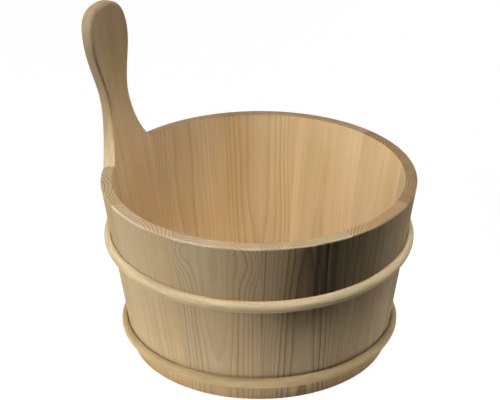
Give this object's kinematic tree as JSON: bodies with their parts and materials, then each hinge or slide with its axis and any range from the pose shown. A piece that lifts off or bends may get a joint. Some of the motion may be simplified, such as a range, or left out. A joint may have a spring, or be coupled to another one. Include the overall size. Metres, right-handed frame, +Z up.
{
  "type": "sauna bucket",
  "caption": "Coopered wooden sauna bucket: tapered stave wall, a long stave carried up as a waisted handle, bent-wood hoops and a recessed bottom.",
  "frame": {"origin": "on the floor, at the middle of the bounding box; the bucket's own axis stands 9.5 mm from it towards +X, because the handle leans out to -X", "axes": "+Z up along the bucket's axis, the handle on the -X side, +Y across the handle's width"},
  "size_m": [0.2807, 0.2612, 0.2785],
  "materials": {
    "stave_pine": "sanded pale pine, unvarnished, straight grain up the wall",
    "handle_pine": "sanded pale pine with rounded edges",
    "pin_beech": "plain dowel rod",
    "bottom_pine": "planed pine boards",
    "dowel_beech": "plain dowel rod",
    "hoop_bent_wood": "smooth pale half-round bent strip",
    "brad_steel": "small flat-headed brads, set flush"
  },
  "bodies": {
    "root": {"stave_01": "stave_pine", "stave_02": "stave_pine", "stave_03": "stave_pine", "stave_04": "stave_pine", "stave_05": "stave_pine", "stave_06": "stave_pine", "stave_07": "stave_pine", "stave_08": "stave_pine", "stave_09": "stave_pine", "stave_10": "stave_pine", "handle_stave": "handle_pine", "pin_01_lower": "pin_beech", "pin_01_upper": "pin_beech", "pin_02_lower": "pin_beech", "pin_02_upper": "pin_beech", "pin_03_lower": "pin_beech", "pin_03_upper": "pin_beech", "pin_04_lower": "pin_beech", "pin_04_upper": "pin_beech", "pin_05_lower": "pin_beech", "pin_05_upper": "pin_beech", "pin_06_lower": "pin_beech", "pin_06_upper": "pin_beech", "pin_07_lower": "pin_beech", "pin_07_upper": "pin_beech", "pin_08_lower": "pin_beech", "pin_08_upper": "pin_beech", "pin_09_lower": "pin_beech", "pin_09_upper": "pin_beech", "pin_10_lower": "pin_beech", "pin_10_upper": "pin_beech", "pin_11_lower": "pin_beech", "pin_11_upper": "pin_beech", "bottom_board_1": "bottom_pine", "bottom_board_2": "bottom_pine", "bottom_board_3": "bottom_pine", "bottom_dowel_1": "dowel_beech", "bottom_dowel_2": "dowel_beech", "bottom_dowel_3": "dowel_beech", "bottom_dowel_4": "dowel_beech", "upper_hoop": "hoop_bent_wood", "lower_hoop": "hoop_bent_wood", "upper_hoop_brad_1": "brad_steel", "upper_hoop_brad_2": "brad_steel", "lower_hoop_brad_1": "brad_steel", "lower_hoop_brad_2": "brad_steel"}
  },
  "joints": []
}
